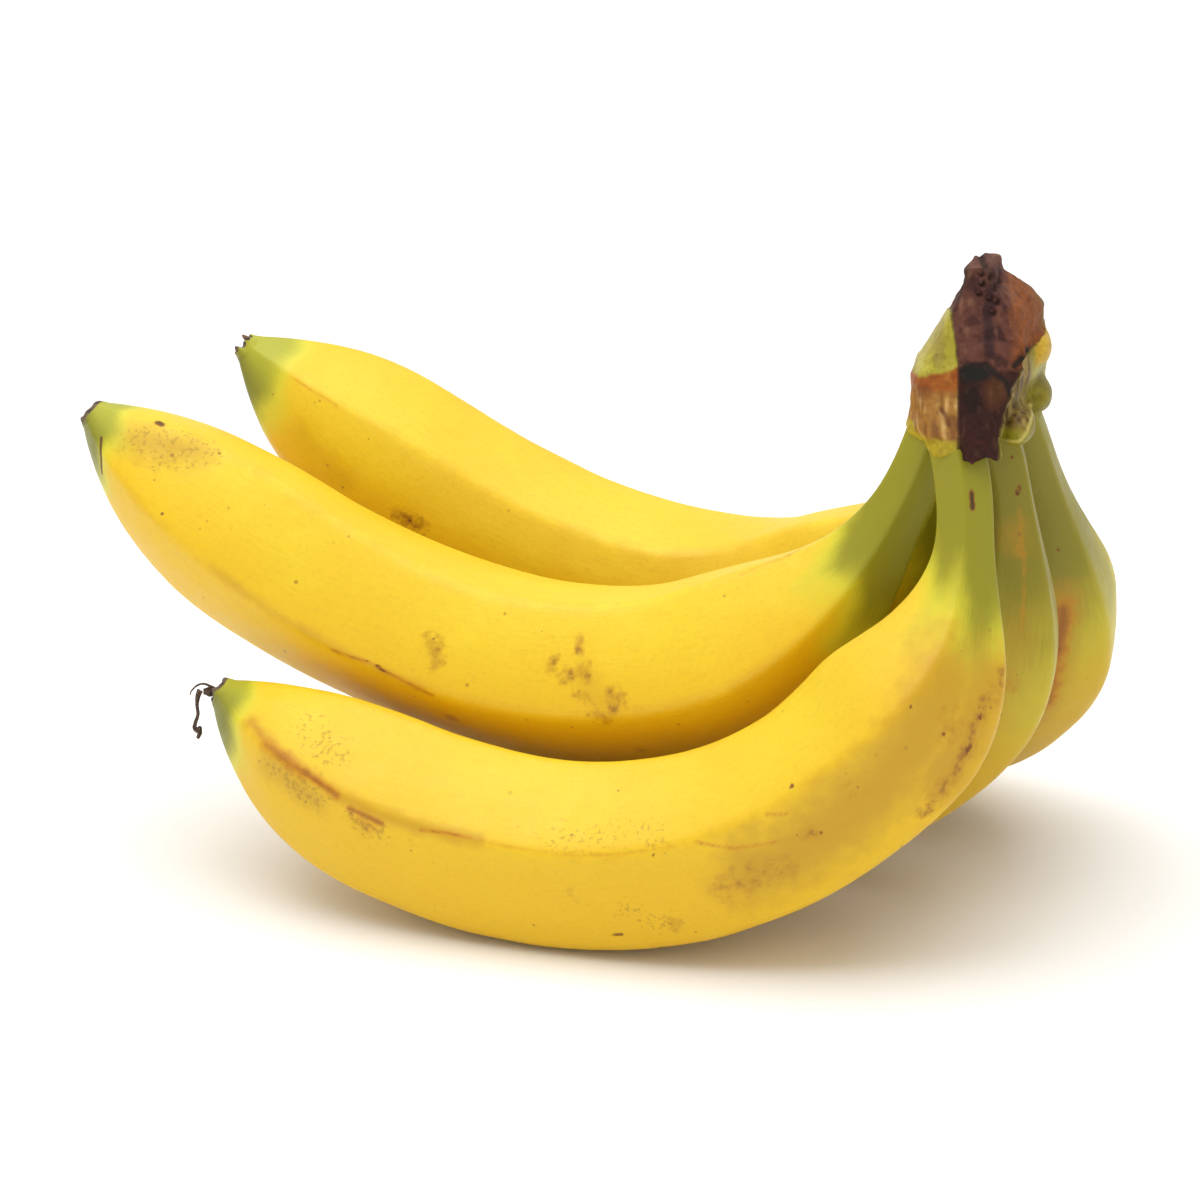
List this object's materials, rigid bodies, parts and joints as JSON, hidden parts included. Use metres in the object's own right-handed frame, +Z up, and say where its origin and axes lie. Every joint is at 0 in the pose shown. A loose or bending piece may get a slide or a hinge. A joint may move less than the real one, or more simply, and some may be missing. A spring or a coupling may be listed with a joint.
{
  "type": "bunch of bananas",
  "caption": "Bunch of ripe bananas on one cut crown, lying on the round backs of its outer row with the tips fanned out.",
  "frame": {"origin": "under the middle of the bunch's box, on the surface that it rests on", "axes": "+Z up, +X towards the crown's end with the tips at -X, -Y towards the nearest banana of the outer row"},
  "size_m": [0.2286, 0.178, 0.146],
  "materials": {
    "banana_skin": "waxy ripe skin, satin",
    "crown": "dried cut stem, rough",
    "dried_flower": "dried fibre, rough"
  },
  "bodies": {
    "root": {"banana_front": "banana_skin", "banana_right_inner": "banana_skin", "banana_right_outer": "banana_skin", "banana_middle": "banana_skin", "banana_back": "banana_skin", "crown": "crown", "flower_stub": "dried_flower", "flower_thread": "dried_flower"}
  },
  "joints": []
}
